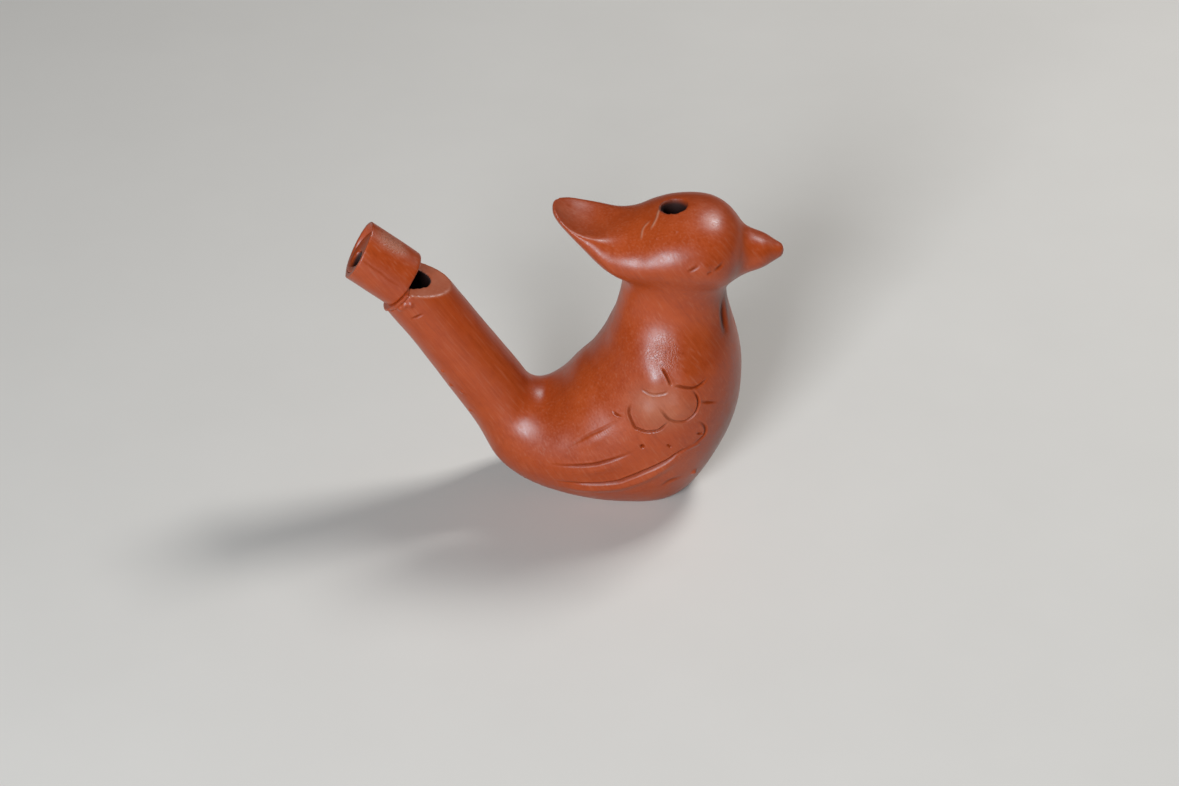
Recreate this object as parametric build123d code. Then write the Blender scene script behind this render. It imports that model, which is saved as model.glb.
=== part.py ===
"""Clay bird call: a hollow water whistle pressed as two half shells and blown through its tail."""
from build123d import *
import os
from math import cos, pi, radians, sin

os.makedirs("parts", exist_ok=True)

# Driving sizes in millimetres and degrees. The bird faces +X, its halves meet on Y = 0 and it stands on Z = 0.
WALL = 2.6
FLOOR = 2.4
SEAM_SLIP = 0.4
BODY_WIDTH = 27.5
HEAD_WIDTH = 20.6
CREST_WIDTH = 16.4
FILL_HOLE_DIAMETER = 4.6
FILL_HOLE_X = 7.1

# Tail pipe: a straight tube that rises backwards out of the belly and swells towards its root
PIPE_DIAMETER = 11.8
PIPE_ANGLE = 55.8
PIPE_LENGTH = 18.0
PIPE_FOOT = (-29.3, 28.4)
SWELL_START = 9.0
ROOT_RUN = 8.3
ROOT_SWELL = 0.8
ROOT_DROP = 0.5

# Mouth tube on the end of the tail pipe, and the plug whose windway runs from a round mouth to a flat slot
MOUTH_ANGLE = 39.0
MOUTH_LENGTH = 10.2
MOUTH_CUT_ANGLE = 29.0
MOUTH_DIAMETER = 10.6
MOUTH_WALL = 1.6
MOUTH_RIM = 0.7
FLARE_DEPTH = 2.0
PLUG_RECESS = 2.0
WINDWAY_WIDTH = 3.6
WINDWAY_HEIGHT = 1.4
WINDWAY_ROOF = 0.6
WINDWAY_MOUTH_DIAMETER = 4.0
WINDWAY_MOUTH_DROP = 0.8
JOINT_SLIP = 0.6

# Window: the pipe end is shaved off nearly level beside the mouth tube
WINDOW_ANGLE = 12.8
WINDOW_RISE = 0.8

# Beak: a blunt cone
BEAK_ROOT = (17.5, 49.7)
BEAK_LENGTH = 8.7
BEAK_ROOT_DIAMETER = 10.8
BEAK_TIP_DIAMETER = 1.9
BEAK_TIP_ROUND = 1.2

# Spoon-shaped hollow on top of the crest
SCOOP_CENTRE = (-6.4, 60.2)
SCOOP_ANGLE = 10.0
SCOOP_LENGTH = 15.6
SCOOP_WIDTH = 22.0
SCOOP_HEIGHT = 10.0

# Trunk ovals from the pipe root up into the head: back point, belly point (x, z), share of the body width
TRUNK = [
    ((-18.0, 22.0), (-27.1, 11.9), 0.50),
    ((-16.4, 20.9), (-24.2, 6.4), 0.60),
    ((-14.8, 20.6), (-19.4, 2.6), 0.73),
    ((-13.1, 21.6), (-13.3, 0.1), 0.84),
    ((-11.5, 23.3), (-6.2, -1.5), 0.92),
    ((-9.8, 25.7), (1.2, -2.2), 0.975),
    ((-7.9, 27.8), (8.4, -1.0), 1.0),
    ((-6.3, 30.0), (15.0, 7.0), 1.0),
    ((-4.8, 32.6), (19.0, 17.3), 0.98),
    ((-4.0, 34.5), (19.7, 23.8), 0.935),
    ((-3.2, 36.5), (19.3, 29.8), 0.82),
    ((-2.6, 38.6), (18.2, 34.6), 0.68),
    ((-2.1, 41.0), (17.0, 38.8), 0.595),
    ((-1.7, 44.4), (16.5, 43.4), 0.59),
]

# Neck ovals that flare out inside the head: back point, front point (x, z), share of the body width
NECK_FLARE = [
    ((-1.3, 47.4), (16.8, 47.0), 0.655),
    ((-0.9, 50.6), (17.2, 50.4), 0.71),
]

# Head ovals from the brow to the nape: top point, under point (x, z), share of the head width
HEAD = [
    ((19.6, 53.4), (19.6, 46.6), 0.34),
    ((17.6, 56.3), (17.6, 44.8), 0.68),
    ((13.8, 58.7), (13.8, 43.6), 0.94),
    ((9.5, 59.1), (9.5, 43.8), 1.0),
    ((4.6, 58.2), (5.3, 44.2), 0.97),
    ((-0.3, 56.4), (0.6, 44.8), 0.825),
]

# Crest ovals from the nape to the tip: top point, under point (x, z), share of the crest width
CREST = [
    ((-5.0, 57.1), (-4.2, 47.5), 1.0),
    ((-9.2, 59.6), (-8.2, 51.4), 0.83),
    ((-11.7, 60.7), (-10.8, 54.2), 0.68),
    ((-13.2, 60.0), (-12.8, 56.3), 0.42),
    ((-13.9, 58.9), (-13.8, 57.4), 0.14),
]

# Working values that are no sizes of the bird: how far cutting blocks reach, how finely curves are stepped
REACH = 200.0
PIPE_STEPS = 4
SWELL_STEPS = 4
QUARTER_STEPS = 3
STANDING = (Align.CENTER, Align.CENTER, Align.MIN)


def side(x, z):
    """Point on the middle plane."""
    return Vector(x, 0, z)


def slope_dir(angle):
    """Unit direction in the side view that runs forwards and down at the given slope."""
    return Vector(cos(radians(angle)), 0, -sin(radians(angle)))


def upright(direction):
    """Unit direction in the side view square to the given one, on its upper side."""
    return Vector(-direction.Z, 0, direction.X)


def oval(back, belly, width, inset=0.0):
    """Oval face across the bird between two points of its side outline, drawn in by the inset."""
    a = side(*back)
    b = side(*belly)
    centre = (a + b) * 0.5
    along = (b - a).normalized()
    across = Vector(0, 1, 0)
    half_height = (b - a).length / 2 - inset
    half_width = width / 2 - inset

    def at(turn):
        return centre + along * (half_height * cos(turn)) + across * (half_width * sin(turn))

    ends = [across, along * -1, across * -1, along, across]
    quarters = []
    for k in range(4):
        points = [at(pi / 2 * (k + i / QUARTER_STEPS)) for i in range(QUARTER_STEPS + 1)]
        quarters.append(Edge.make_spline(points, tangents=[ends[k], ends[k + 1]], scale=False))
    return Face(Wire(quarters))


def pipe_row(run, diameter, drop=0.0):
    """Row for a round section of the tail pipe, at a distance down the pipe from the joint."""
    centre = JOINT + PIPE_DIR * run - PIPE_UP * drop
    a = centre + PIPE_UP * (diameter / 2)
    b = centre - PIPE_UP * (diameter / 2)
    return (a.X, a.Z), (b.X, b.Z), diameter


def pipe_rows(start):
    """Rows of the tail pipe from the given run to its root: even first, then swelling steadily."""
    step = (SWELL_START - start) / PIPE_STEPS
    rows = [pipe_row(start + step * i, PIPE_DIAMETER) for i in range(PIPE_STEPS)]
    swell_run = PIPE_LENGTH + ROOT_RUN - SWELL_START
    for k in range(SWELL_STEPS + 1):
        share = k / SWELL_STEPS
        rows.append(pipe_row(
            SWELL_START + swell_run * share, PIPE_DIAMETER + ROOT_SWELL * share, ROOT_DROP * share))
    return rows


def sized(rows, width):
    """Rows with their shares turned into widths."""
    return [(a, b, share * width) for a, b, share in rows]


def behind(point, direction):
    """Large block that ends at a plane through the point, on the side its direction points away from."""
    return Plane(origin=point, z_dir=direction) * Pos(0, 0, -REACH / 2) * Box(REACH, REACH, REACH)


def rod(diameter, length):
    """Cylinder that stands on its plane."""
    return Cylinder(diameter / 2, length, align=STANDING)


def mouth_plane(run, rise):
    """Plane across the mouth tube, a run out from its bedded end and a rise above its axis."""
    origin = JOINT - MOUTH_DIR * (JOINT_SLIP / 2 + run) + MOUTH_UP * rise
    return Plane(origin=origin, x_dir=LEFT, z_dir=MOUTH_DIR * -1)


# Directions of the pipe, the mouth tube and the window in the side view
PIPE_DIR = slope_dir(PIPE_ANGLE)
PIPE_UP = upright(PIPE_DIR)
JOINT = side(*PIPE_FOOT) - PIPE_DIR * PIPE_LENGTH
MOUTH_DIR = slope_dir(MOUTH_ANGLE)
MOUTH_UP = upright(MOUTH_DIR)
WINDOW_UP = upright(slope_dir(WINDOW_ANGLE))
DOWN = Vector(0, 0, -1)
LEFT = Vector(0, 1, 0)

# Clay body as one shape: trunk with its tail pipe, head with its scooped crest, beak
trunk_rows = pipe_rows(-PIPE_DIAMETER) + sized(TRUNK, BODY_WIDTH)
trunk = loft([oval(*row) for row in trunk_rows + sized(NECK_FLARE, BODY_WIDTH)])
head = loft([oval(*row) for row in sized(HEAD, HEAD_WIDTH) + sized(CREST, CREST_WIDTH)])
scoop_form = scale(Sphere(0.5), by=(SCOOP_LENGTH, SCOOP_WIDTH, SCOOP_HEIGHT))
scoop = Location(side(*SCOOP_CENTRE)) * Rot(0, SCOOP_ANGLE, 0) * scoop_form
beak = Plane(origin=side(*BEAK_ROOT), z_dir=(1, 0, 0)) * Cone(
    BEAK_ROOT_DIAMETER / 2, BEAK_TIP_DIAMETER / 2, BEAK_LENGTH, align=STANDING)
beak = fillet(beak.edges().sort_by(Axis.X)[-1], BEAK_TIP_ROUND)
body = (trunk + (head - scoop) + beak) & behind(Vector(), DOWN)

# Water chamber with the pipe bore, and the fill hole down through the crown
chamber = loft([oval(*row, inset=WALL) for row in trunk_rows]) & behind(Vector(0, 0, FLOOR), DOWN)
roof_back, roof_front, _ = TRUNK[-1]
roof_height = min(roof_back[1], roof_front[1])
fill_hole = Location(side(FILL_HOLE_X, roof_height - WALL)) * rod(FILL_HOLE_DIAMETER, REACH)
shell = body - chamber - fill_hole

# The pipe end, cut to the mouth joint and shaved level for the window
pipe_end = JOINT + MOUTH_DIR * (JOINT_SLIP / 2)
mouth_end = JOINT - MOUTH_DIR * (JOINT_SLIP / 2)
under_window = behind(JOINT + MOUTH_UP * WINDOW_RISE, WINDOW_UP)
pipe_foot = JOINT + PIPE_DIR * PIPE_LENGTH
pipe_zone = Plane(origin=pipe_foot, z_dir=PIPE_DIR * -1) * rod(2 * PIPE_DIAMETER, 2 * PIPE_LENGTH)
pipe_blank = shell & pipe_zone & under_window
shell = shell - (pipe_zone - (behind(pipe_end, MOUTH_DIR * -1) & under_window))

# Two pressed halves and the slip between their rims, which the fill hole and the window part into two runs
right_side = behind(LEFT * (-SEAM_SLIP / 2), LEFT)
left_side = behind(LEFT * (SEAM_SLIP / 2), LEFT * -1)
seam_runs = (shell - right_side - left_side).solids().sort_by(Axis.X)

# Mouth tube, its plug and the slip that beds it on the pipe end
mouth_bore = MOUTH_DIAMETER - 2 * MOUTH_WALL
flare_widening = MOUTH_WALL - MOUTH_RIM
tube_run = MOUTH_LENGTH - JOINT_SLIP / 2
plug_run = tube_run - PLUG_RECESS
slot_rise = mouth_bore / 2 - WINDWAY_ROOF - WINDWAY_HEIGHT / 2
flare = Pos(0, 0, tube_run - FLARE_DEPTH) * Cone(
    mouth_bore / 2, mouth_bore / 2 + 2 * flare_widening, 2 * FLARE_DEPTH, align=STANDING)
tube_blank = rod(MOUTH_DIAMETER, 2 * tube_run) - rod(mouth_bore, 2 * tube_run) - flare
tube = mouth_plane(0, 0) * tube_blank & behind(
    JOINT - MOUTH_DIR * MOUTH_LENGTH, slope_dir(MOUTH_CUT_ANGLE) * -1)
windway = loft([
    mouth_plane(0, slot_rise) * Rectangle(WINDWAY_WIDTH, WINDWAY_HEIGHT),
    mouth_plane(plug_run, -WINDWAY_MOUTH_DROP) * Circle(WINDWAY_MOUTH_DIAMETER / 2),
])
plug = mouth_plane(0, 0) * rod(mouth_bore, plug_run) - windway
joint_slip = pipe_blank & behind(pipe_end, MOUTH_DIR) & behind(mouth_end, MOUTH_DIR * -1)

pieces = {
    "right_half_shell": shell & right_side,
    "left_half_shell": shell & left_side,
    "back_seam_slip": seam_runs[0],
    "belly_seam_slip": seam_runs[-1],
    "mouth_tube": tube,
    "windway_plug": plug,
    "mouth_joint_slip": joint_slip,
}
for name, solid in pieces.items():
    export_step(solid, f"parts/{name}.step")
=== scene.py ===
"""Looks of a clay bird call: a crested bird in satin terracotta, blown through its tail pipe."""

import logging
import math
from dataclasses import dataclass, replace
from enum import Enum
from typing import ClassVar

import bmesh
import bpy
import numpy as np
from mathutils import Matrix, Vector
from mathutils.bvhtree import BVHTree

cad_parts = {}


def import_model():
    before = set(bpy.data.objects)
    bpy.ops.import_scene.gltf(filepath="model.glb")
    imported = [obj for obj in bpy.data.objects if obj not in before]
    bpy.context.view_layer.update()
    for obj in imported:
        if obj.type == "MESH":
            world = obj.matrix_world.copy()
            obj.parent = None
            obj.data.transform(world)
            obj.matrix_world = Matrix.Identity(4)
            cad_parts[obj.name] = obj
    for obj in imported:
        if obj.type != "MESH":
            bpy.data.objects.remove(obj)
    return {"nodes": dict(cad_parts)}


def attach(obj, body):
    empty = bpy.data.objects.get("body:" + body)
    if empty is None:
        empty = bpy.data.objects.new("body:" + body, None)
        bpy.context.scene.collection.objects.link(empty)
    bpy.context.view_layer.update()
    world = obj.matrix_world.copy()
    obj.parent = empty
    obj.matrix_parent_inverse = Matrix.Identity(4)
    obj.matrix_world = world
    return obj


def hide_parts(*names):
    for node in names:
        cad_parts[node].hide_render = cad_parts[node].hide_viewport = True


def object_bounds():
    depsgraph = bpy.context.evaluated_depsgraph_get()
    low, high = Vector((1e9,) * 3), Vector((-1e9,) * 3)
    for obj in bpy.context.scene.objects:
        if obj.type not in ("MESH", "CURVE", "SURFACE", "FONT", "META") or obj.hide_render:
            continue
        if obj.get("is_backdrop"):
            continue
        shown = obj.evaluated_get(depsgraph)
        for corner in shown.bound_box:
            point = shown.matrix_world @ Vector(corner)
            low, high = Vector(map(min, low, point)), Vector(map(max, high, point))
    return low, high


log = logging.getLogger("bird_call")

Pair = tuple[float, float]
Triple = tuple[float, float, float]
Colour = tuple[float, float, float]
Socket = bpy.types.NodeSocket

MM = 0.001
BODY = "root"

# Working distances in millimetres: where rays start, when points count as one, how close a cut runs
FAR = 200.0
WELD = 1e-4
CUT = 1e-5

# Middle of the joint between pipe and mouth tube in millimetres, and the tube's directions out and up
MOUTH_JOINT = (-39.4, 0.0, 43.3)
MOUTH_TILT = math.radians(39.0)
MOUTH_OUT = (-math.cos(MOUTH_TILT), 0.0, math.sin(MOUTH_TILT))
MOUTH_UP = (math.sin(MOUTH_TILT), 0.0, math.cos(MOUTH_TILT))


class Cast(Enum):
    """From where a line drawn flat is laid onto the clay."""

    RIGHT_SIDE = "right side"
    LEFT_SIDE = "left side"
    TOP = "top"
    FRONT = "front"

    def ray(self, a: float, b: float) -> tuple[Vector, Vector]:
        """Ray that lays a flat point onto the clay.

        Args:
            a: first coordinate of the point as drawn.
            b: second coordinate of the point as drawn.

        Returns:
            Start and direction of the ray.
        """
        if self is Cast.TOP:
            return Vector((a, b, FAR)), Vector((0, 0, -1))
        if self is Cast.FRONT:
            return Vector((FAR, a, b)), Vector((-1, 0, 0))
        side = -1 if self is Cast.RIGHT_SIDE else 1
        return Vector((a, side * FAR, b)), Vector((0, -side, 0))


class Mark(Enum):
    """What is kept at each point of the clay for its finish."""

    # Pale clay, and painted sheen on the wing pads and the crest's scoop
    PALE_AND_SHEEN = "pale"
    # Painted shade in grooves and pits, which also dulls their gloss
    GROOVE_SHADE = "groove"
    # Sandy patch: fine pits, with their shade painted as dark specks
    SAND = "sand"
    # Painted shade inside the holes, the bore and the windway
    INSIDE = "inside"


def smoothstep(low: float, high: float, value: np.ndarray) -> np.ndarray:
    """Eased step from 0 to 1.

    Args:
        low: value where the step starts.
        high: value where the step ends.
        value: values to ease.

    Returns:
        Eased values between 0 and 1.
    """
    t = np.clip((value - low) / (high - low), 0.0, 1.0)
    return t * t * (3.0 - 2.0 * t)


def through(points: np.ndarray, spacing: float) -> np.ndarray:
    """Smooth curve through points, stepped at an even spacing.

    Args:
        points: points of the curve, one per row.
        spacing: distance between the returned points.

    Returns:
        Points along the curve.
    """
    if len(points) == 1:
        return points
    ends = np.vstack([2 * points[0] - points[1], points, 2 * points[-1] - points[-2]])
    rows = []
    for a, b, c, d in zip(ends, ends[1:], ends[2:], ends[3:]):
        count = max(2, int(np.linalg.norm(c - b) / spacing))
        t = np.linspace(0.0, 1.0, count, endpoint=False)[:, None]
        rows.append(0.5 * (2 * b + (c - a) * t + (2 * a - 5 * b + 4 * c - d) * t**2
                           + (3 * b - a - 3 * c + d) * t**3))
    return np.vstack(rows + [points[-1:]])


def read(items: bpy.types.bpy_prop_collection, key: str, width: int = 1, kind: type = np.float32) -> np.ndarray:
    """Values kept on every item of a mesh.

    Args:
        items: points, edges, faces, corners or the data of an attribute.
        key: which value is read.
        width: how many numbers each value has.
        kind: type of the numbers.

    Returns:
        One row per item, or one number per item where the width is one.
    """
    found = np.empty(len(items) * width, kind)
    items.foreach_get(key, found)
    return found.reshape(-1, width) if width > 1 else found


@dataclass(frozen=True)
class Grain:
    """Smooth repeatable unevenness of hand-worked clay. Sizes in millimetres."""

    seed: int
    cell: float
    height: float = 1.0
    repeat: int = 24

    def at(self, points: np.ndarray) -> np.ndarray:
        """Args:
            points: places in millimetres.

        Returns:
            Unevenness at each place, from -height to height.
        """
        cells = np.random.default_rng(self.seed).uniform(-1.0, 1.0, (self.repeat, self.repeat, self.repeat))
        p = points / self.cell
        base = np.floor(p).astype(int)
        f = p - base
        f = f * f * (3.0 - 2.0 * f)
        total = np.zeros(len(points))
        for corner in range(8):
            step = np.array([corner & 1, corner >> 1 & 1, corner >> 2 & 1])
            weight = np.prod(np.where(step == 1, f, 1.0 - f), axis=1)
            i, j, k = ((base + step) % self.repeat).T
            total += weight * cells[i, j, k]
        return total * self.height


class Clay:
    """A mesh in millimetres that can be remeshed, eased and pushed like wet clay."""

    def __init__(self, mesh: bpy.types.Mesh) -> None:
        """Args:
            mesh: mesh in millimetres, which the clay takes over.
        """
        self.mesh = mesh
        self._read()

    @classmethod
    def from_nodes(cls, nodes: list[bpy.types.Object], voxel: float, overlap: float = 0.0) -> "Clay":
        """Fine clay in the shape of one or more solids.

        Args:
            nodes: solids of the frame, which stay as they are.
            voxel: size of the fine mesh's cells in millimetres.
            overlap: how far faces beside the middle plane are pushed across it, so that halves join.

        Returns:
            The joined, evenly meshed clay.
        """
        build = bmesh.new()
        for node in nodes:
            copy = node.data.copy()
            points = read(copy.vertices, "co", 3) / MM
            if overlap:
                inner = np.abs(points[:, 1]) < overlap
                points[inner, 1] = -np.sign(points[np.abs(points[:, 1]).argmax(), 1]) * overlap
            copy.vertices.foreach_set("co", points.ravel())
            build.from_mesh(copy)
            bpy.data.meshes.remove(copy)
        bmesh.ops.remove_doubles(build, verts=build.verts, dist=WELD)
        joined = bpy.data.meshes.new("joined")
        build.to_mesh(joined)
        build.free()
        holder = bpy.data.objects.new("holder", joined)
        bpy.context.scene.collection.objects.link(holder)
        fine = holder.modifiers.new("fine", "REMESH")
        fine.mode = "VOXEL"
        fine.voxel_size = voxel
        fine.adaptivity = 0.0
        shaped = bpy.data.meshes.new_from_object(holder.evaluated_get(bpy.context.evaluated_depsgraph_get()))
        bpy.data.objects.remove(holder)
        bpy.data.meshes.remove(joined)
        return cls(shaped)

    def _read(self) -> None:
        """Reads points and edges from the mesh and starts its marks at zero."""
        self.points = read(self.mesh.vertices, "co", 3).astype(float)
        self.edges = read(self.mesh.edges, "vertices", 2, np.int32)
        self.marks = {mark: np.zeros(len(self.points)) for mark in Mark}

    def settle(self) -> None:
        """Writes the points back to the mesh."""
        self.mesh.vertices.foreach_set("co", self.points.astype(np.float32).ravel())
        self.mesh.update()

    def normals(self) -> np.ndarray:
        """Returns:
            Outward unit normal at each point.
        """
        self.settle()
        return read(self.mesh.vertex_normals, "vector", 3).astype(float)

    def ease(self, weights: np.ndarray, rounds: int) -> None:
        """Draws each point towards its neighbours.

        Args:
            weights: share from 0 to 1 for each point.
            rounds: how often it is done.
        """
        live = weights > 1e-3
        used = self.edges[live[self.edges].any(axis=1)]
        ids, local = np.unique(used, return_inverse=True)
        local = local.reshape(-1, 2)
        a = np.concatenate([local[:, 0], local[:, 1]])
        b = np.concatenate([local[:, 1], local[:, 0]])
        count = np.bincount(a, minlength=len(ids))[:, None]
        share = weights[ids][:, None]
        points = self.points[ids]
        for _ in range(rounds):
            mean = np.stack([np.bincount(a, points[b, k], len(ids)) for k in range(3)], axis=1) / count
            points += (mean - points) * share * 0.5
        self.points[ids] = points

    def ease_all(self, rounds: int) -> None:
        """Draws every point fully towards its neighbours.

        Args:
            rounds: how often it is done.
        """
        self.ease(np.ones(len(self.points)), rounds)

    def near(self, line: np.ndarray, reach: float) -> tuple[np.ndarray, np.ndarray, np.ndarray]:
        """Points near a line.

        Args:
            line: points along the line.
            reach: largest distance.

        Returns:
            Indices of the points, their distances and how far along the line they lie, from 0 to 1.
        """
        low = line.min(0) - reach
        high = line.max(0) + reach
        ids = np.where(((self.points > low) & (self.points < high)).all(axis=1))[0]
        best = np.full(len(ids), np.inf)
        along = np.zeros(len(ids))
        for k, place in enumerate(line):
            gap = np.linalg.norm(self.points[ids] - place, axis=1)
            closer = gap < best
            best[closer] = gap[closer]
            along[closer] = k / max(1, len(line) - 1)
        keep = best < reach
        return ids[keep], best[keep], along[keep]

    def tree(self) -> BVHTree:
        """Returns:
            A search tree over the clay's faces.
        """
        self.settle()
        build = bmesh.new()
        build.from_mesh(self.mesh)
        found = BVHTree.FromBMesh(build)
        build.free()
        return found

    def refine(self, chosen: np.ndarray) -> None:
        """Splits the faces between chosen points into four.

        Args:
            chosen: whether each point is chosen.
        """
        self.settle()
        build = bmesh.new()
        build.from_mesh(self.mesh)
        edges = [e for e in build.edges if chosen[e.verts[0].index] and chosen[e.verts[1].index]]
        bmesh.ops.subdivide_edges(build, edges=edges, cuts=1, use_grid_fill=True)
        build.to_mesh(self.mesh)
        build.free()
        self._read()

    def swell(self, normals: np.ndarray, push: np.ndarray) -> None:
        """Moves each point along its normal.

        Args:
            normals: unit normal at each point.
            push: distance that each point moves outwards.
        """
        self.points += normals * push[:, None]

    def keep_within(self, room: np.ndarray) -> None:
        """Holds the clay inside a box.

        Args:
            room: lowest and highest corner in millimetres.
        """
        self.points = np.clip(self.points, room[0], room[1])

    def raise_mark(self, mark: Mark, ids: np.ndarray | slice, values: np.ndarray) -> None:
        """Raises a mark where the new value is higher.

        Args:
            mark: mark to raise.
            ids: points that the values belong to.
            values: new value at each of them.
        """
        self.marks[mark][ids] = np.maximum(self.marks[mark][ids], values)

    def keep_marks(self) -> None:
        """Stores the marks on the mesh for the finish."""
        layers = self.mesh.attributes
        for mark, values in self.marks.items():
            layer = layers.get(mark.value) or layers.new(mark.value, "FLOAT", "POINT")
            layer.data.foreach_set("value", np.clip(values, 0.0, 1.0).astype(np.float32))

    def object(self, name: str, mesh: bpy.types.Mesh | None = None) -> bpy.types.Object:
        """Finished object in metres.

        Args:
            name: name of the object.
            mesh: mesh to use instead of the clay's own.

        Returns:
            The object, linked to the scene.
        """
        if mesh is None:
            self.settle()
            self.keep_marks()
            mesh = self.mesh
            mesh.shade_smooth()
        mesh.vertices.foreach_set("co", read(mesh.vertices, "co", 3).ravel() * MM)
        mesh.update()
        made = bpy.data.objects.new(name, mesh)
        mesh.name = name
        bpy.context.scene.collection.objects.link(made)
        return made


@dataclass(frozen=True)
class Groove:
    """A line pressed into the clay, or raised from it where the depth is below zero. Sizes in millimetres."""

    points: tuple[Pair, ...]
    depth: float
    width: float
    cast: Cast = Cast.RIGHT_SIDE
    taper: float = 0.25
    pale: float = 0.0
    lip: float = 0.16

    spread: ClassVar[float] = 3.4
    step: ClassVar[float] = 0.4
    lip_place: ClassVar[float] = 1.8
    lip_width: ClassVar[float] = 0.8
    end_share: ClassVar[float] = 0.04
    # Groove depth at which its painted shade is darkest
    dark_depth: ClassVar[float] = 0.22

    def mirrored(self) -> "Groove":
        """Returns:
            The same line on the other side of the bird.
        """
        return replace(self, cast=Cast.LEFT_SIDE)

    def reach(self) -> float:
        """Returns:
            How far from its middle the line still moves the clay.
        """
        return self.width * self.spread

    def laid(self, tree: BVHTree) -> np.ndarray:
        """Lays the line onto the clay.

        Args:
            tree: search tree over the clay's faces.

        Returns:
            Points along the line on the clay.
        """
        drawn = through(np.array(self.points, float), self.width * self.step)
        hits = [tree.ray_cast(*self.cast.ray(a, b))[0] for a, b in drawn]
        return np.array([tuple(hit) for hit in hits if hit is not None])

    def press(self, clay: Clay, tree: BVHTree, push: np.ndarray) -> None:
        """Adds the line's depth to the push at each point.

        Args:
            clay: clay to press.
            tree: search tree over the clay's faces.
            push: distance that each point moves outwards, changed in place.
        """
        line = self.laid(tree)
        ids, gap, along = clay.near(line, self.reach())
        fade = np.ones(len(ids))
        if len(line) > 2 and self.taper > 0:
            fade = (smoothstep(0.0, self.taper, along + self.end_share)
                    * smoothstep(0.0, self.taper, 1.0 + self.end_share - along))
        shape = np.exp(-(gap / self.width) ** 2) * fade
        lip = np.exp(-((gap / self.width - self.lip_place) / self.lip_width) ** 2) * fade
        push[ids] -= self.depth * (shape - self.lip * lip)
        # A pressed groove gets painted shade, darker the deeper it is
        if self.depth > 0:
            clay.raise_mark(Mark.GROOVE_SHADE, ids, shape * min(1.0, self.depth / self.dark_depth))
        if self.pale > 0:
            clay.raise_mark(Mark.PALE_AND_SHEEN, ids, shape * self.pale)


@dataclass(frozen=True)
class Lump:
    """A small round rise of clay, or a pit where its height is below zero. Sizes in millimetres."""

    place: Pair
    radius: float
    height: float
    cast: Cast = Cast.RIGHT_SIDE

    spread: ClassVar[float] = 2.2

    def mirrored(self) -> "Lump":
        """Returns:
            The same lump on the other side of the bird.
        """
        return replace(self, cast=Cast.LEFT_SIDE)

    def reach(self) -> float:
        """Returns:
            How far from its middle the lump still moves the clay.
        """
        return self.radius * self.spread

    def laid(self, tree: BVHTree) -> np.ndarray:
        """Lays the lump onto the clay.

        Args:
            tree: search tree over the clay's faces.

        Returns:
            Its middle, as a single row.
        """
        return Groove((self.place,), self.height, self.radius, self.cast).laid(tree)

    def press(self, clay: Clay, tree: BVHTree, push: np.ndarray) -> None:
        """Adds the lump to the push at each point.

        Args:
            clay: clay to press.
            tree: search tree over the clay's faces.
            push: distance that each point moves outwards, changed in place.
        """
        ids, gap, _ = clay.near(self.laid(tree), self.reach())
        shape = np.exp(-(gap / self.radius) ** 2)
        push[ids] += self.height * shape
        # A pit gets painted shade
        if self.height < 0:
            clay.raise_mark(Mark.GROOVE_SHADE, ids, shape)


@dataclass(frozen=True)
class Zone:
    """An egg-shaped region of the clay with a soft edge. Sizes in millimetres."""

    centre: Triple
    radii: Triple
    edge: float = 0.4

    def weights(self, points: np.ndarray) -> np.ndarray:
        """Args:
            points: places in millimetres.

        Returns:
            1 inside the zone, easing to 0 at its edge.
        """
        reach = np.linalg.norm((points - np.array(self.centre)) / np.array(self.radii), axis=1)
        return 1.0 - smoothstep(1.0 - self.edge, 1.0, reach)


@dataclass(frozen=True)
class Rub:
    """A region that is rubbed smooth, either through and through or on the outer skin alone."""

    zone: Zone
    rounds: int
    share: float = 1.0
    skin_only: bool = False


@dataclass(frozen=True)
class Tint:
    """A region whose clay is marked for the finish."""

    mark: Mark
    zone: Zone
    strength: float

    def lay(self, clay: Clay) -> None:
        """Args:
            clay: clay to mark.
        """
        clay.raise_mark(self.mark, slice(None), self.zone.weights(clay.points) * self.strength)


@dataclass(frozen=True)
class Hollow:
    """The inside of a round hole, with shade painted in it that deepens further in. Sizes in millimetres."""

    start: Triple
    end: Triple
    radius: float
    fade: float
    edge: float = 0.1

    def weights(self, points: np.ndarray) -> np.ndarray:
        """Args:
            points: places in millimetres.

        Returns:
            0 outside the hole and at its mouth, rising to 1 inside.
        """
        start = np.array(self.start)
        run = np.array(self.end) - start
        length = np.linalg.norm(run)
        along = (points - start) @ run / length
        off = np.linalg.norm(points - start - along[:, None] * run / length, axis=1)
        within = 1.0 - smoothstep(self.radius - self.edge, self.radius, off)
        return within * smoothstep(0.0, self.fade, along) * (along < length)


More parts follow.
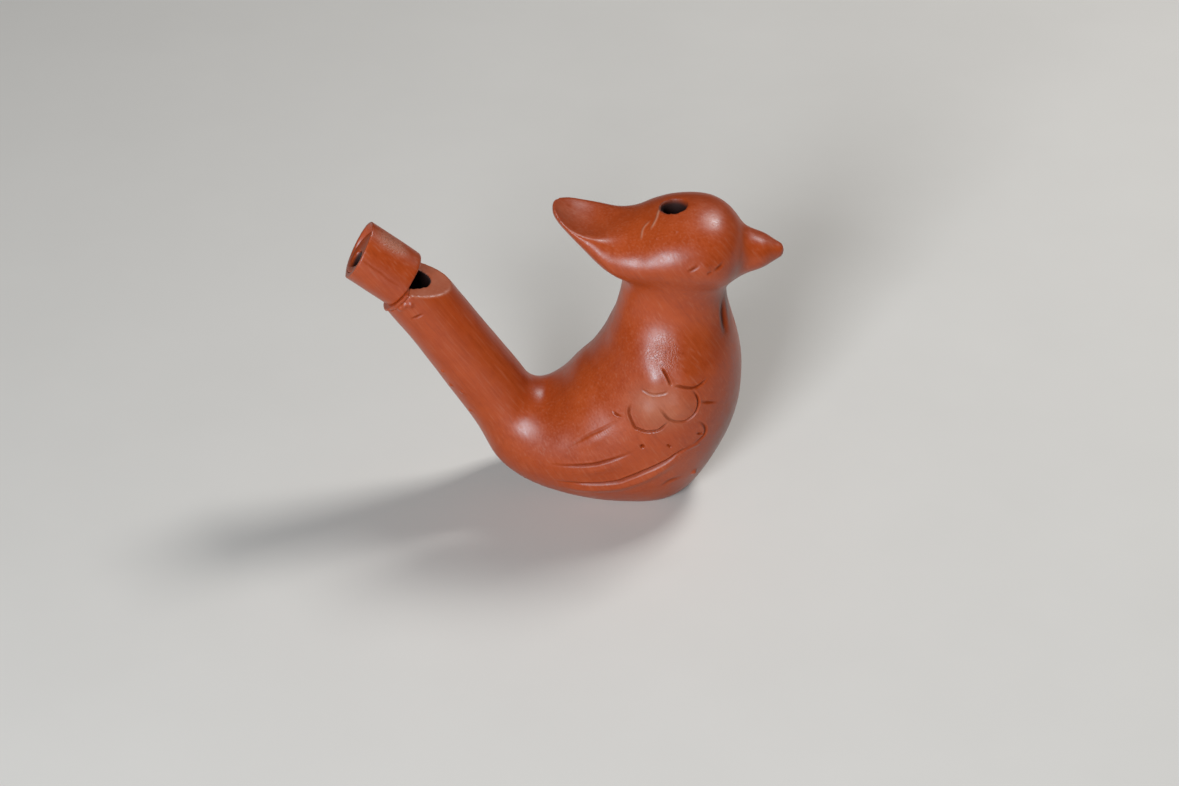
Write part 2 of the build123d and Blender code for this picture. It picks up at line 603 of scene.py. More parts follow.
class Nodes:
    """Short way to lay out the nodes of a material."""

    def __init__(self, name: str) -> None:
        """Args:
            name: name of the material.
        """
        self.material = bpy.data.materials.new(name)
        self.material.use_nodes = True
        self.tree = self.material.node_tree
        self.shader = self.tree.nodes["Principled BSDF"]

    def add(self, kind: str, settings: dict | None = None, **inputs: object) -> bpy.types.Node:
        """Adds a node.

        Args:
            kind: type of the node.
            settings: properties of the node.
            inputs: values or sockets for its inputs, with spaces in names as underscores.

        Returns:
            The node.
        """
        made = self.tree.nodes.new(kind)
        for key, value in (settings or {}).items():
            setattr(made, key, value)
        for key, value in inputs.items():
            self.feed(made.inputs[key.replace("_", " ")], value)
        return made

    def feed(self, socket: Socket, value: object) -> None:
        """Gives an input its value or link.

        Args:
            socket: input to feed.
            value: a number, a colour or another node's output.
        """
        if isinstance(value, Socket):
            self.tree.links.new(value, socket)
        elif isinstance(value, tuple) and len(value) == 3 and socket.type == "RGBA":
            socket.default_value = (*value, 1.0)
        else:
            socket.default_value = value

    def noise(self, cell: float, detail: float = 3.0) -> Socket:
        """Noise over the object.

        Args:
            cell: size of its blotches in millimetres.
            detail: how much finer noise is laid over it.

        Returns:
            Output between 0 and 1.
        """
        place = self.add("ShaderNodeTexCoord").outputs["Object"]
        made = self.add("ShaderNodeTexNoise", Vector=place, Scale=1.0 / (cell * MM), Detail=detail,
                        Roughness=0.6)
        return made.outputs[0]

    def streaks(self, slope: float, length: float, width: float) -> Socket:
        """Fine brush strokes that all run one way down the side.

        Args:
            slope: how steeply they run down towards the breast, in degrees.
            length: length of a stroke in millimetres.
            width: width of a stroke in millimetres.

        Returns:
            Output between 0 and 1.
        """
        place = self.add("ShaderNodeTexCoord").outputs["Object"]
        turned = self.add("ShaderNodeMapping", {"vector_type": "TEXTURE"}, Vector=place,
                          Rotation=(0.0, math.radians(slope), 0.0),
                          Scale=(length * MM, width * MM, width * MM))
        return self.add("ShaderNodeTexNoise", Vector=turned.outputs[0], Scale=1.0, Detail=2.0).outputs[0]

    def ramp(self, value: Socket, low: float, high: float, to_low: float = 0.0, to_high: float = 1.0) -> Socket:
        """Maps a span of values onto another, and clamps it.

        Args:
            value: input.
            low: input that gives to_low.
            high: input that gives to_high.
            to_low: first output.
            to_high: last output.

        Returns:
            The mapped value.
        """
        made = self.add("ShaderNodeMapRange", Value=value, From_Min=low, From_Max=high,
                        To_Min=to_low, To_Max=to_high)
        return made.outputs[0]

    def math(self, operation: str, a: object, b: object) -> Socket:
        """Args:
            operation: name of the sum.
            a: first value.
            b: second value.

        Returns:
            The result.
        """
        made = self.add("ShaderNodeMath", {"operation": operation})
        self.feed(made.inputs[0], a)
        self.feed(made.inputs[1], b)
        return made.outputs[0]

    def scaled(self, value: object, by: object) -> Socket:
        """Args:
            value: value to scale.
            by: what it is multiplied by.

        Returns:
            The product.
        """
        return self.math("MULTIPLY", value, by)

    def total(self, first: object, *others: object) -> Socket:
        """Args:
            first: value to start from.
            others: values that are added to it in turn.

        Returns:
            The sum.
        """
        for other in others:
            first = self.math("ADD", first, other)
        return first

    def mix(self, share: object, a: object, b: object) -> Socket:
        """Mixes two colours.

        Args:
            share: how much of the second.
            a: first colour.
            b: second colour.

        Returns:
            The mixed colour.
        """
        made = self.add("ShaderNodeMix", {"data_type": "RGBA"})
        self.feed(made.inputs["Factor"], share)
        self.feed(made.inputs[6], a)
        self.feed(made.inputs[7], b)
        return made.outputs[2]

    def mark(self, mark: Mark) -> Socket:
        """Args:
            mark: mark kept on the clay.

        Returns:
            Its value.
        """
        return self.add("ShaderNodeAttribute", {"attribute_name": mark.value}).outputs["Fac"]


@dataclass(frozen=True)
class Terracotta:
    """Unglazed red clay with a satin rub. Colours are linear, sizes of patterns and relief in millimetres."""

    name: str
    slot: str
    deep: Colour = (0.345, 0.045, 0.006)
    warm: Colour = (0.455, 0.074, 0.012)
    # Pale dusty clay, also used as painted sheen on the wing pads and the crest's scoop
    dust_and_sheen: Colour = (0.50, 0.24, 0.15)
    # Dark clay for flecks and strokes, also used as painted shade in grooves, pits and sandy pits
    dark_tone_and_shade: Colour = (0.16, 0.022, 0.006)
    # Near black, painted as shade deep inside holes
    painted_hole_shade: Colour = (0.030, 0.005, 0.002)
    sheen: Colour = (0.66, 0.90, 1.0)
    roughness: float = 0.35
    gloss: float = 0.60
    groove_gloss: float = 0.1
    blotch: float = 12.0
    mottle: float = 2.2
    fleck: float = 0.30
    # Size of the dark specks painted as pit shade in sandy patches
    speck: float = 0.36
    pit: float = 0.34
    stroke_slope: float = 55.8
    stroke_length: float = 5.5
    stroke_width: float = 0.36
    grain_height: float = 0.010
    brush_height: float = 0.009
    pit_depth: float = 0.035

    def material(self) -> bpy.types.Material:
        """Returns:
            The finish as a material.
        """
        n = Nodes(self.name)
        mottled = n.noise(self.mottle, 4.0)
        fine = n.noise(self.fleck, 2.0)
        strokes = n.streaks(self.stroke_slope, self.stroke_length, self.stroke_width)
        gloss = n.ramp(n.mark(Mark.GROOVE_SHADE), 0.0, 0.7, self.gloss, self.groove_gloss)
        n.feed(n.shader.inputs["Base Color"], self.colour(n, mottled, fine, strokes))
        n.feed(n.shader.inputs["Roughness"], self.dullness(n, mottled, strokes))
        n.feed(n.shader.inputs["Normal"], self.relief(n, fine, strokes))
        n.feed(n.shader.inputs["Specular IOR Level"], gloss)
        n.shader.inputs["Specular Tint"].default_value = (*self.sheen, 1.0)
        return n.material

    def colour(self, n: Nodes, mottled: Socket, fine: Socket, strokes: Socket) -> Socket:
        """Args:
            n: nodes of the material.
            mottled: noise of small blotches.
            fine: noise of flecks.
            strokes: pattern of brush strokes.

        Returns:
            Colour of the clay, with its flecks, strokes and marks: painted shade in grooves, pits, holes and
            sandy pits, and pale marks that are partly painted sheen.
        """
        tone = n.total(n.scaled(n.noise(self.blotch, 3.0), 0.6), n.scaled(mottled, 0.4))
        clay = n.mix(n.ramp(tone, 0.30, 0.70), self.deep, self.warm)
        clay = n.mix(n.ramp(fine, 0.70, 0.80, 0.0, 0.16), clay, self.dust_and_sheen)
        clay = n.mix(n.ramp(fine, 0.32, 0.22, 0.0, 0.22), clay, self.dark_tone_and_shade)
        clay = n.mix(n.ramp(strokes, 0.54, 0.74, 0.0, 0.16), clay, self.dust_and_sheen)
        clay = n.mix(n.ramp(strokes, 0.46, 0.28, 0.0, 0.20), clay, self.dark_tone_and_shade)
        # Painted shade in grooves and pits
        clay = n.mix(n.scaled(n.mark(Mark.GROOVE_SHADE), 0.75), clay, self.dark_tone_and_shade)
        # Pale scratches, facet and tube top, and painted sheen on the wing pads and the crest's scoop
        clay = n.mix(n.scaled(n.mark(Mark.PALE_AND_SHEEN), n.ramp(mottled, 0.2, 0.7, 0.6, 1.0)), clay, self.dust_and_sheen)
        # Painted shade inside the holes, the bore and the windway
        clay = n.mix(n.mark(Mark.INSIDE), clay, self.painted_hole_shade)
        # Dark specks in the sandy patch, painted shade of its pits
        painted_pit_shade = n.ramp(n.noise(self.speck, 1.0), 0.38, 0.30)
        return n.mix(n.scaled(n.mark(Mark.SAND), n.scaled(painted_pit_shade, 0.7)), clay, self.dark_tone_and_shade)

    def dullness(self, n: Nodes, mottled: Socket, strokes: Socket) -> Socket:
        """Args:
            n: nodes of the material.
            mottled: noise of small blotches.
            strokes: pattern of brush strokes.

        Returns:
            Roughness of the clay, higher where it is pale or inside.
        """
        return n.total(n.ramp(mottled, 0.3, 0.7, self.roughness - 0.04, self.roughness + 0.06),
                       n.scaled(n.mark(Mark.PALE_AND_SHEEN), 0.14),
                       n.ramp(strokes, 0.3, 0.7, -0.04, 0.06),
                       n.scaled(n.mark(Mark.INSIDE), 0.4))

    def relief(self, n: Nodes, fine: Socket, strokes: Socket) -> Socket:
        """Args:
            n: nodes of the material.
            fine: noise of flecks.
            strokes: pattern of brush strokes.

        Returns:
            Normal of the clay, with its grain, pits and strokes.
        """
        pits = n.ramp(n.noise(self.pit, 2.0), 0.40, 0.56, -self.pit_depth, 0.0)
        height = n.total(n.scaled(fine, self.grain_height), n.scaled(n.mark(Mark.SAND), pits),
                         n.scaled(strokes, self.brush_height))
        return n.add("ShaderNodeBump", Strength=1.0, Distance=MM, Height=height).outputs[0]


@dataclass(frozen=True)
class Paper:
    """Plain pale sheet under the bird, which throws little light back up. Colours are linear."""

    name: str = "pale_sheet"
    low: Colour = (0.70, 0.69, 0.67)
    high: Colour = (0.74, 0.73, 0.71)
    dim: Colour = (0.20, 0.19, 0.18)
    blotch: float = 30.0
    roughness: float = 0.9

    def material(self) -> bpy.types.Material:
        """Returns:
            The finish as a material.
        """
        n = Nodes(self.name)
        path = n.add("ShaderNodeLightPath").outputs
        seen = n.math("MAXIMUM", path["Is Camera Ray"], path["Is Glossy Ray"])
        seen = n.math("MAXIMUM", seen, path["Is Transmission Ray"])
        sheet = n.mix(n.noise(self.blotch), self.low, self.high)
        n.feed(n.shader.inputs["Base Color"], n.mix(seen, self.dim, sheet))
        n.shader.inputs["Roughness"].default_value = self.roughness
        return n.material


# Marks in the clay, drawn flat in millimetres: (x, z) from a side, (x, y) from the top, (y, z) from the front.
# Wing: four pads, the lines round them, then the long feathers as grooves with a ridge below each.
WING = (
    Lump((2.9, 24.0), 2.5, 0.50),
    Lump((8.5, 25.7), 2.4, 0.50),
    Lump((3.6, 30.0), 2.0, 0.24),
    Lump((9.6, 31.0), 1.8, 0.22),
    Groove(((5.2, 32.8), (5.8, 31.9), (6.3, 30.9), (6.8, 29.8)), 0.26, 0.20),
    Groove(((7.3, 29.6), (8.1, 29.7), (9.5, 29.3), (10.8, 29.0), (11.8, 29.2), (12.6, 29.6), (13.0, 30.0)),
           0.28, 0.22),
    Groove(((1.6, 28.6), (3.5, 28.0), (5.5, 28.4), (6.2, 28.9)), 0.14, 0.22),
    Groove(((-0.2, 25.4), (-0.5, 24.3), (-0.4, 23.2), (0.5, 21.2), (1.4, 20.8), (2.5, 20.5), (3.6, 20.6),
            (4.7, 20.9), (5.6, 21.7), (6.3, 22.6)), 0.30, 0.22, taper=0.2),
    Groove(((5.0, 25.4), (5.6, 24.5), (6.3, 23.5), (7.1, 22.9), (8.2, 22.6), (9.3, 22.6), (10.3, 23.1),
            (11.0, 23.8), (11.4, 24.7), (11.6, 25.7), (11.5, 26.8), (11.1, 27.8), (10.6, 28.5)),
           0.30, 0.22, taper=0.2),
    Groove(((11.8, 26.3), (12.7, 25.7), (14.0, 25.1), (15.2, 24.5)), 0.18, 0.26, taper=0.5),
    Groove(((11.6, 22.1), (12.4, 21.2), (13.0, 20.0), (13.1, 18.9), (12.8, 18.0), (11.9, 17.2), (10.9, 16.6)),
           0.20, 0.26, taper=0.4),
    Groove(((11.4, 19.2), (12.1, 18.8), (12.8, 18.6)), 0.24, 0.20, taper=0.5),
    Groove(((-3.4, 23.3), (-2.9, 22.9), (-2.3, 22.7), (-1.7, 22.7)), 0.20, 0.20, taper=0.5),
    Groove(((-1.6, 22.3), (-4.6, 20.1), (-7.3, 18.4), (-10.2, 16.2), (-12.0, 15.2)), 0.10, 0.30, taper=0.5),
    Groove(((-2.4, 20.4), (-5.2, 18.4), (-7.8, 16.6), (-11.0, 14.8)), -0.16, 1.00, taper=0.5, lip=0.0),
    Groove(((1.1, 16.6), (-1.7, 15.0), (-5.1, 13.5), (-7.3, 12.7), (-11.6, 11.7), (-15.0, 11.4)),
           0.22, 0.28, taper=0.5),
    Groove(((0.6, 15.0), (-2.2, 13.5), (-5.2, 12.0), (-7.4, 11.2), (-11.6, 10.2)),
           -0.22, 0.95, taper=0.5, lip=0.0),
    Groove(((6.2, 17.7), (7.0, 16.9)), 0.20, 0.20),
    Groove(((11.8, 16.9), (9.6, 16.0), (7.9, 15.0), (6.6, 14.0), (4.5, 12.8), (2.2, 11.6), (-0.5, 10.1),
            (-2.5, 9.1), (-5.1, 8.4), (-7.3, 8.0), (-9.9, 7.7), (-13.3, 7.6)), 0.36, 0.32, taper=0.3),
    Groove(((9.0, 14.3), (6.2, 12.3), (4.6, 11.3), (2.2, 9.8), (-0.2, 8.5), (-2.5, 7.5), (-5.1, 6.8),
            (-7.3, 6.4), (-9.9, 6.0), (-13.3, 5.9)), -0.42, 0.95, taper=0.3, lip=0.0),
    Groove(((9.2, 15.8), (10.8, 16.2), (12.3, 16.4)), -0.18, 0.45, lip=0.0),
    Groove(((9.8, 8.7), (7.0, 8.3), (5.0, 6.8)), 0.14, 0.45, taper=0.5),
)

EYES = (
    Lump((12.3, 52.4), 1.0, 0.14),
    Groove(((9.0, 51.7), (10.4, 52.4), (11.3, 53.1)), 0.18, 0.30, taper=0.5),
    Groove(((13.6, 51.6), (14.8, 52.2), (15.4, 52.9)), 0.18, 0.30, taper=0.5),
    Groove(((12.6, 51.1), (13.5, 51.5)), 0.12, 0.30),
)

BEAK = (
    Lump((22.0, 48.7), 2.2, 0.50),
    Lump((22.6, 51.2), 2.0, 0.25),
)

CHEEKS = (
    Lump((0.4, 50.8), 3.4, 0.60),
)

# On one side only: a nick under the window, scratches on the crown, a dent in the throat, crumbs and a pit
TOOL_MARKS = (
    Groove(((-38.6, 38.8), (-37.4, 39.6), (-36.0, 40.3)), 0.18, 0.24, taper=0.5),
    Groove(((4.6, -0.1), (4.0, -2.8), (3.0, -4.7)), -0.10, 0.20, Cast.TOP, pale=0.8, lip=0.0),
    Groove(((3.0, -2.7), (1.8, -3.9), (1.4, -5.9)), -0.08, 0.20, Cast.TOP, pale=0.6, lip=0.0),
    Groove(((-3.0, 42.6), (-3.4, 40.6), (-3.9, 38.6), (-4.5, 36.6), (-5.1, 34.6)), 0.36, 0.75, Cast.FRONT,
           taper=0.5),
    Lump((4.0, -6.5), 0.30, 0.10, Cast.TOP),
    Lump((7.3, -6.4), 0.30, 0.10, Cast.TOP),
    Lump((11.3, 8.4), 0.50, 0.45),
    Lump((1.9, 17.3), 0.30, -0.60),
    Lump((-33.4, 27.2), 0.35, 0.26),
    Lump((-32.0, 23.9), 0.40, 0.24),
    Lump((-30.0, 23.1), 0.35, 0.20),
    Lump((-28.7, 18.3), 0.35, 0.20),
    Lump((-40.3, 41.2), 0.55, 0.30),
    Lump((-39.4, 41.9), 0.45, 0.26),
    Lump((-38.3, 42.1), 0.50, 0.28),
)

# Rubbed smooth in turn: neck into head, lips of the crest, head into crest, root of the beak, edge of the foot
BODY_RUBS = (
    Rub(Zone((7.5, 0.0, 46.0), (18.0, 16.0, 8.0), 0.6), 300, skin_only=True),
    Rub(Zone((-5.5, 0.0, 57.0), (10.5, 12.0, 7.0)), 90, skin_only=True),
    Rub(Zone((-1.5, 0.0, 53.5), (6.0, 13.0, 7.0), 0.7), 200, skin_only=True),
    Rub(Zone((18.5, 0.0, 49.7), (5.0, 9.0, 9.0), 0.6), 70),
    Rub(Zone((2.0, 0.0, 0.0), (26.0, 18.0, 1.6)), 12, share=0.8),
)

# Wing pads and the crest's scoop lightened as painted sheen, and a sandy patch on the shoulder
BODY_TINTS = (
    Tint(Mark.PALE_AND_SHEEN, Zone((4.6, -13.0, 25.5), (8.0, 7.0, 7.0), 0.8), 0.36),
    Tint(Mark.PALE_AND_SHEEN, Zone((-7.0, 0.0, 58.5), (7.5, 5.5, 3.2), 0.7), 0.34),
    Tint(Mark.SAND, Zone((5.5, -11.0, 35.0), (4.5, 6.0, 5.0), 0.8), 0.8),
)


@dataclass
class ClayBody:
    """The two pressed halves with their seam slip: shaped as one skin, then parted along the seam."""

    voxel: float = 0.25
    seam: float = 0.2
    overlap: float = 0.3
    first_rub: int = 4
    fine_below: float = 2.5
    window_angle: float = 12.8
    window_rise: float = 0.8
    facet_edge: Pair = (0.10, 0.35)
    facet_front: float = -30.0
    facet_floor: float = 38.0
    facet_pale: float = 0.30
    inner: Zone = Zone((7.4, 0.0, 44.0), (7.6, 6.8, 40.0), 0.02)
    # Holes with shade painted inside them
    fill_hole: Hollow = Hollow((7.1, 0.0, 59.2), (7.1, 0.0, 30.0), 2.7, 1.8)
    pipe_bore: Hollow = Hollow((-43.0, 0.0, 48.5), (-20.0, 0.0, 14.7), 3.55, 0.5)
    waves: tuple[Grain, ...] = (Grain(3, 7.0, 0.07), Grain(5, 2.2, 0.025))
    finish: Terracotta = Terracotta("terracotta_body", "clay_body")
    slip_finish: Terracotta = Terracotta("terracotta_seam", "clay_slip")

    halves: ClassVar[dict[str, int]] = {"right_half_shell": -1, "left_half_shell": 1}
    runs: ClassVar[tuple[str, ...]] = ("back_seam_slip", "belly_seam_slip")

    def build(self, nodes: dict[str, bpy.types.Object], room: np.ndarray) -> list[bpy.types.Object]:
        """Args:
            nodes: solids of the frame by name.
            room: lowest and highest corner of the solids in millimetres.

        Returns:
            The two halves and the two runs of slip.
        """
        clay = Clay.from_nodes([nodes[name] for name in self.halves], self.voxel, self.overlap)
        log.info("body skin: %d points", len(clay.points))
        self.blend(clay)
        self.carve(clay)
        self.mark(clay)
        clay.keep_within(room)
        return self.part(clay)

    def blend(self, clay: Clay) -> None:
        """Rounds the edges of the blank and runs head, crest, beak and neck into each other.

        Args:
            clay: skin of the whole body.
        """
        clay.ease_all(self.first_rub)
        skin = 1.0 - self.inner.weights(clay.points)
        for rub in BODY_RUBS:
            weights = rub.zone.weights(clay.points) * rub.share
            clay.ease(skin * weights if rub.skin_only else weights, rub.rounds)

    def carve(self, clay: Clay) -> None:
        """Presses the wings, the eyes and the maker's marks.

        Args:
            clay: skin of the whole body.
        """
        paired = WING + EYES + BEAK + CHEEKS
        marks = [*paired, *(mark.mirrored() for mark in paired), *TOOL_MARKS]
        tree = clay.tree()
        fine = np.zeros(len(clay.points), bool)
        for mark in marks:
            if mark.reach() < self.fine_below:
                fine[clay.near(mark.laid(tree), mark.reach())[0]] = True
        clay.refine(fine)
        normals = clay.normals()
        push = sum(wave.at(clay.points) for wave in self.waves)
        for mark in marks:
            mark.press(clay, tree, push)
        clay.swell(normals, push)

    def mark(self, clay: Clay) -> None:
        """Marks where the clay is pale or has painted sheen, where it is sandy, and where shade is painted
        inside the holes.

        Args:
            clay: skin of the whole body.
        """
        for tint in BODY_TINTS:
            tint.lay(clay)
        clay.raise_mark(Mark.PALE_AND_SHEEN, slice(None), self.facet(clay.points) * self.facet_pale)
        # Painted shade inside the fill hole and the pipe's bore
        for hole in (self.fill_hole, self.pipe_bore):
            clay.raise_mark(Mark.INSIDE, slice(None), hole.weights(clay.points))

    def facet(self, points: np.ndarray) -> np.ndarray:
        """Args:
            points: places in millimetres.

        Returns:
            1 on the facet that is shaved beside the window, 0 elsewhere.
        """
        tilt = math.radians(self.window_angle)
        upright = np.array((math.sin(tilt), 0.0, math.cos(tilt)))
        origin = np.array(MOUTH_JOINT) + np.array(MOUTH_UP) * self.window_rise
        off_plane = np.abs((points - origin) @ upright)
        beside = (points[:, 0] < self.facet_front) & (points[:, 2] > self.facet_floor)
        return (1.0 - smoothstep(*self.facet_edge, off_plane)) * beside

    def part(self, clay: Clay) -> list[bpy.types.Object]:
        """Parts the skin along the seam into halves and slip, each closed and with the skin's own shading.

        Args:
            clay: skin of the whole body.

        Returns:
            The pieces.
        """
        clay.settle()
        clay.keep_marks()
        shading = clay.mesh.attributes.new("shading", "FLOAT_VECTOR", "POINT")
        shading.data.foreach_set("vector", clay.normals().astype(np.float32).ravel())
        made = []
        material = self.finish.material()
        for name, sign in self.halves.items():
            half = self.slab(clay.mesh, [(sign * self.seam, sign)])
            piece = clay.object(name + "_look", self.close(half))
            made.append(dress(piece, material, name))
        middle = self.slab(clay.mesh, [(-self.seam, 1), (self.seam, -1)])
        slip = self.slip_finish.material()
        for name, run in zip(self.runs, self.islands(middle)):
            piece = clay.object(name + "_look", self.close(run))
            made.append(dress(piece, slip, name))
        return made

    def slab(self, mesh: bpy.types.Mesh, cuts: list[tuple[float, int]]) -> bmesh.types.BMesh:
        """Cuts a slab out of the skin by planes across Y, and closes the cuts.

        Args:
            mesh: skin to cut.
            cuts: place of each plane and the side that is kept.

        Returns:
            The slab.
        """
        build = bmesh.new()
        build.from_mesh(mesh)
        for place, sign in cuts:
            found = bmesh.ops.bisect_plane(
                build, geom=build.verts[:] + build.edges[:] + build.faces[:], dist=CUT,
                plane_co=(0, place, 0), plane_no=(0, -sign, 0), clear_outer=True)
            rim = [e for e in found["geom_cut"] if isinstance(e, bmesh.types.BMEdge)]
            filled = bmesh.ops.triangle_fill(build, edges=rim, use_beauty=False, use_dissolve=False)
            for face in filled["geom"]:
                if isinstance(face, bmesh.types.BMFace):
                    face.smooth = False
                    face.normal_update()
                    if face.normal.y * sign > 0:
                        face.normal_flip()
        return build

    def islands(self, build: bmesh.types.BMesh) -> list[bmesh.types.BMesh]:
        """Parts the slip into the run over the back and the run under the belly.

        Args:
            build: slip of the whole seam.

        Returns:
            Back run, then belly run.
        """
        front = max(build.verts, key=lambda v: v.co.x)
        seen = {front}
        edge = [front]
        while edge:
            here = edge.pop()
            for link in here.link_edges:
                other = link.other_vert(here)
                if other not in seen:
                    seen.add(other)
                    edge.append(other)
        belly = build.copy()
        belly.verts.ensure_lookup_table()
        inside = [v in seen for v in build.verts]
        bmesh.ops.delete(belly, geom=[v for v, keep in zip(belly.verts, inside) if not keep], context="VERTS")
        bmesh.ops.delete(build, geom=list(seen), context="VERTS")
        return [build, belly]

    def close(self, build: bmesh.types.BMesh) -> bpy.types.Mesh:
        """Mesh of a parted piece, shaded like the whole skin.

        Args:
            build: the piece.

        Returns:
            Its mesh.
        """
        mesh = bpy.data.meshes.new("parted")
        build.to_mesh(mesh)
        build.free()
        kept = read(mesh.attributes["shading"].data, "vector", 3)
        kept /= np.maximum(np.linalg.norm(kept, axis=1, keepdims=True), 1e-9)
        corner = read(mesh.loops, "vertex_index", kind=np.int32)
        size = read(mesh.polygons, "loop_total", kind=np.int32)
        soft = np.repeat(read(mesh.polygons, "use_smooth", kind=bool), size)
        flat = np.repeat(read(mesh.polygons, "normal", 3), size, axis=0)
        normals = np.where(soft[:, None], kept[corner], flat)
        mesh.attributes.remove(mesh.attributes["shading"])
        mesh.normals_split_custom_set(normals.tolist())
        return mesh


@dataclass
class MouthTube:
    """The tube that is blown, with its thin rim and the line where its clay was rolled together."""

    voxel: float = 0.16
    first_rub: int = 3
    end_rub: Rub = Rub(Zone((-37.3, 0.0, 46.6), (4.0, 7.5, 4.5), 0.6), 60)
    seam_line: Groove = Groove(((-46.2, 50.9), (-45.0, 49.7), (-43.3, 48.3), (-42.0, 47.0), (-39.9, 45.3)),
                               0.06, 0.22, taper=0.15)
    waves: Grain = Grain(11, 2.4, 0.03)
    top: Zone = Zone((-41.8, -0.6, 51.4), (5.6, 3.0, 3.6), 0.8)
    top_sand: float = 1.0
    top_pale: float = 0.5
    finish: Terracotta = Terracotta("terracotta_mouth", "clay_mouth")

    node: ClassVar[str] = "mouth_tube"

    def build(self, nodes: dict[str, bpy.types.Object]) -> bpy.types.Object:
        """Args:
            nodes: solids of the frame by name.

        Returns:
            The tube.
        """
        clay = Clay.from_nodes([nodes[self.node]], self.voxel)
        clay.ease_all(self.first_rub)
        clay.ease(self.end_rub.zone.weights(clay.points), self.end_rub.rounds)
        tree = clay.tree()
        normals = clay.normals()
        push = self.waves.at(clay.points)
        self.seam_line.press(clay, tree, push)
        clay.swell(normals, push)
        Tint(Mark.SAND, self.top, self.top_sand).lay(clay)
        Tint(Mark.PALE_AND_SHEEN, self.top, self.top_pale).lay(clay)
        piece = clay.object(self.node + "_look")
        return dress(piece, self.finish.material(), self.node)


@dataclass
class WindwayPlug:
    """The plug in the mouth tube with its windway. Sizes in millimetres."""

    voxel: float = 0.15
    first_rub: int = 3
    face: Triple = (-45.8, 0.0, 48.5)
    front_depth: Pair = (-1.8, -0.2)
    rim_reach: Pair = (1.6, 3.6)
    rim_rise: float = 1.4
    dish_rise: float = 1.1
    widening: float = 0.14
    hole_was: float = -0.8
    hole_now: float = -1.8
    hole_squash: float = 0.70
    # Depth over which shade is painted into the windway
    dark_depth: Pair = (0.15, 0.5)
    finish: Terracotta = Terracotta("terracotta_plug", "clay_plug")

    node: ClassVar[str] = "windway_plug"

    def build(self, nodes: dict[str, bpy.types.Object]) -> bpy.types.Object:
        """Args:
            nodes: solids of the frame by name.

        Returns:
            The plug.
        """
        clay = Clay.from_nodes([nodes[self.node]], self.voxel)
        clay.ease_all(self.first_rub)
        self.dish(clay)
        piece = clay.object(self.node + "_look")
        return dress(piece, self.finish.material(), self.node)

    def dish(self, clay: Clay) -> None:
        """Smears the plug's outer face up the flared mouth into a shallow bowl round the windway.

        Args:
            clay: clay of the plug.
        """
        outward = np.array(MOUTH_OUT)
        upward = np.array(MOUTH_UP)
        arm = clay.points - np.array(self.face)
        depth = arm @ outward
        arm -= depth[:, None] * outward
        front = smoothstep(*self.front_depth, depth)
        rim = smoothstep(*self.rim_reach, np.linalg.norm(arm, axis=1))
        clay.points += outward * (front * (self.dish_rise + (self.rim_rise - self.dish_rise) * rim))[:, None]
        clay.points += arm * (self.widening * front * rim)[:, None]
        rise = arm @ upward
        sunk = self.hole_now + (rise - self.hole_was) * self.hole_squash - rise
        clay.points += upward * (sunk * front * (1.0 - rim))[:, None]
        # Painted shade deep in the windway
        clay.marks[Mark.INSIDE] = smoothstep(*self.dark_depth, -depth)


@dataclass
class JointSlip:
    """Slip that beds the mouth tube on the pipe, squeezed out unevenly. Sizes in millimetres."""

    voxel: float = 0.12
    first_rub: int = 2
    squeeze: float = 0.26
    swell: float = 0.25
    deepest: float = -0.1
    outer_reach: Pair = (4.6, 5.4)
    ragged: Grain = Grain(17, 1.1)
    finish: Terracotta = Terracotta("terracotta_slip", "clay_slip")

    node: ClassVar[str] = "mouth_joint_slip"

    def build(self, nodes: dict[str, bpy.types.Object]) -> bpy.types.Object:
        """Args:
            nodes: solids of the frame by name.

        Returns:
            The slip.
        """
        clay = Clay.from_nodes([nodes[self.node]], self.voxel)
        clay.ease_all(self.first_rub)
        outward = np.array(MOUTH_OUT)
        arm = clay.points - np.array(MOUTH_JOINT)
        arm -= (arm @ outward)[:, None] * outward
        reach = np.linalg.norm(arm, axis=1)
        outer = smoothstep(*self.outer_reach, reach)
        push = np.maximum(self.ragged.at(clay.points) + self.swell, self.deepest) * self.squeeze * outer
        clay.swell(arm / reach[:, None], push)
        piece = clay.object(self.node + "_look")
        return dress(piece, self.finish.material(), self.node)


def dress(piece: bpy.types.Object, material: bpy.types.Material, node: str) -> bpy.types.Object:
    """Gives a piece its finish, hangs it on the body and hides the solid it stands for.

    Args:
        piece: the piece.
        material: its finish.
        node: solid of the frame.

    Returns:
        The piece.
    """
    piece.data.materials.clear()
    piece.data.materials.append(material)
    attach(piece, BODY)
    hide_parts(node)
    log.info("%s: %d faces", piece.name, len(piece.data.polygons))
    return piece


@dataclass(frozen=True)
class Lamp:
    """A soft flat light aimed at the bird. Distances in metres, power in watts."""

    name: str
    towards: Triple
    distance: float
    size: Pair
    power: float
    colour: Colour

    def build(self, target: Vector) -> None:
        """Args:
            target: point it shines at.
        """
        data = bpy.data.lights.new(self.name, "AREA")
        data.shape = "RECTANGLE"
        data.size, data.size_y = self.size
        data.energy = self.power
        data.color = self.colour
        lamp = bpy.data.objects.new(self.name, data)
        out = Vector(self.towards).normalized()
        lamp.location = target + out * self.distance
        lamp.rotation_euler = out.to_track_quat("Z", "Y").to_euler()
        bpy.context.scene.collection.objects.link(lamp)


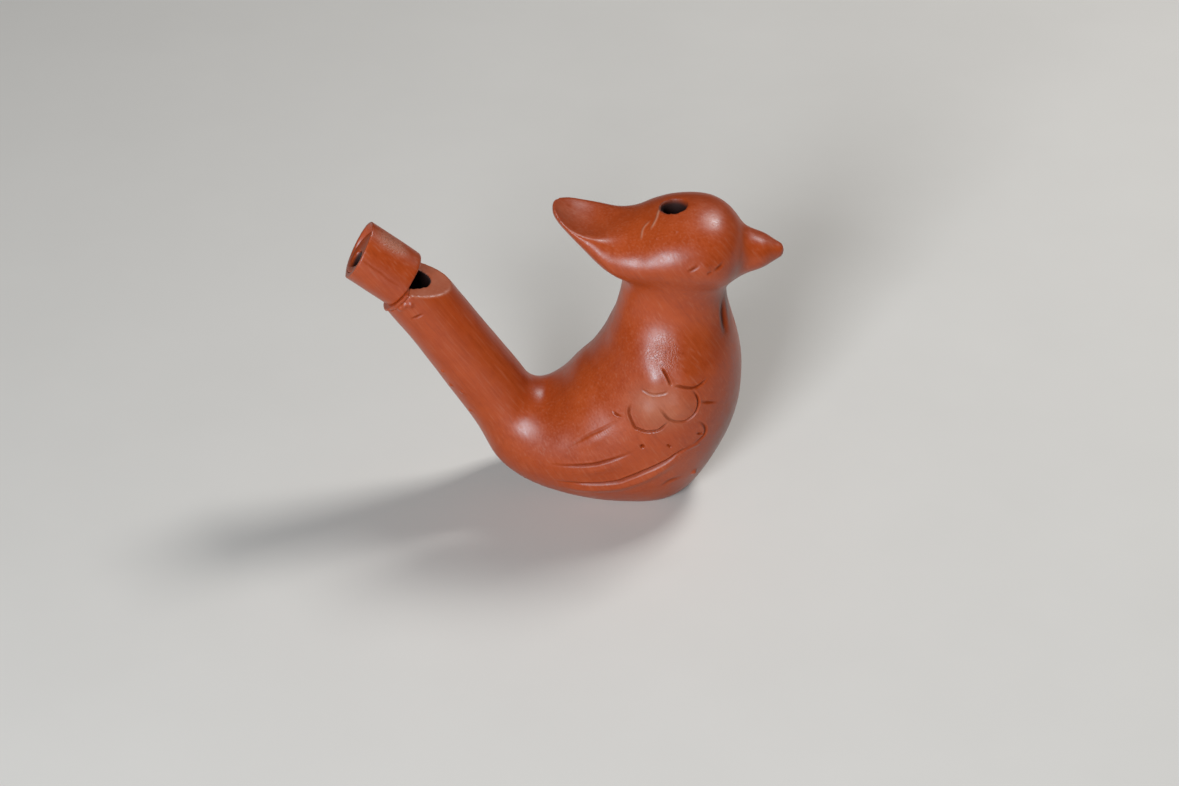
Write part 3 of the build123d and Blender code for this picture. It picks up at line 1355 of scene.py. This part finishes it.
@dataclass
class Studio:
    """Pale sheet, soft light and the camera. Distances in metres, lens and sensor in millimetres."""

    target: Triple = (-0.0074, 0.0, 0.019)
    elevation: float = 36.0
    distance: float = 0.5
    lens: float = 85.0
    sensor: float = 36.0
    sheet: float = 3.0
    air: float = 0.03
    paper: Paper = Paper()
    lamps: tuple[Lamp, ...] = (
        Lamp("back_right", (0.46, 0.34, 0.82), 0.60, (0.16, 0.16), 2.0, (1.0, 0.98, 0.95)),
        Lamp("front_left", (-0.32, -0.87, 0.39), 0.75, (0.22, 0.38), 5.6, (0.95, 0.98, 1.0)),
    )

    def build(self) -> None:
        """Sets up the sheet, the lamps, the air and the camera."""
        bpy.context.scene.view_settings.view_transform = "Standard"
        aim = Vector(self.target)
        self.lay_sheet()
        for lamp in self.lamps:
            lamp.build(aim)
        self.fill_air()
        self.set_camera(aim)

    def lay_sheet(self) -> None:
        """Lays the pale sheet under the bird."""
        half = self.sheet / 2
        corners = [(-half, -half, 0), (half, -half, 0), (half, half, 0), (-half, half, 0)]
        mesh = bpy.data.meshes.new("sheet")
        mesh.from_pydata(corners, [], [(0, 1, 2, 3)])
        floor = bpy.data.objects.new("sheet", mesh)
        floor.data.materials.append(self.paper.material())
        bpy.context.scene.collection.objects.link(floor)
        floor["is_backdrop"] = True

    def fill_air(self) -> None:
        """Fills the room with a little even light."""
        world = bpy.data.worlds.new("air")
        world.use_nodes = True
        sky = world.node_tree.nodes["Background"]
        sky.inputs["Color"].default_value = (1.0, 1.0, 1.0, 1.0)
        sky.inputs["Strength"].default_value = self.air
        bpy.context.scene.world = world

    def set_camera(self, aim: Vector) -> None:
        """Sets the camera up in front of the bird's right side.

        Args:
            aim: point it looks at.
        """
        data = bpy.data.cameras.new("camera")
        data.lens = self.lens
        data.sensor_width = self.sensor
        camera = bpy.data.objects.new("camera", data)
        tilt = math.radians(self.elevation)
        back = Vector((0.0, -math.cos(tilt), math.sin(tilt)))
        camera.location = aim + back * self.distance
        camera.rotation_euler = back.to_track_quat("Z", "Y").to_euler()
        bpy.context.scene.collection.objects.link(camera)
        bpy.context.scene.camera = camera


def as_lists(box: tuple[Vector, Vector]) -> list[list[float]]:
    """Args:
        box: two corners.

    Returns:
        The corners as plain lists.
    """
    return [[float(value) for value in corner] for corner in box]


def main() -> None:
    """Builds the bird and its studio."""
    logging.basicConfig(level=logging.INFO, format="%(name)s: %(message)s")
    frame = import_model()
    solid_box = as_lists(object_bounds())
    nodes = frame["nodes"]
    ClayBody().build(nodes, np.array(solid_box) / MM)
    MouthTube().build(nodes)
    WindwayPlug().build(nodes)
    JointSlip().build(nodes)
    Studio().build()
    log.info("boxes written")


if __name__ == "__main__":
    main()
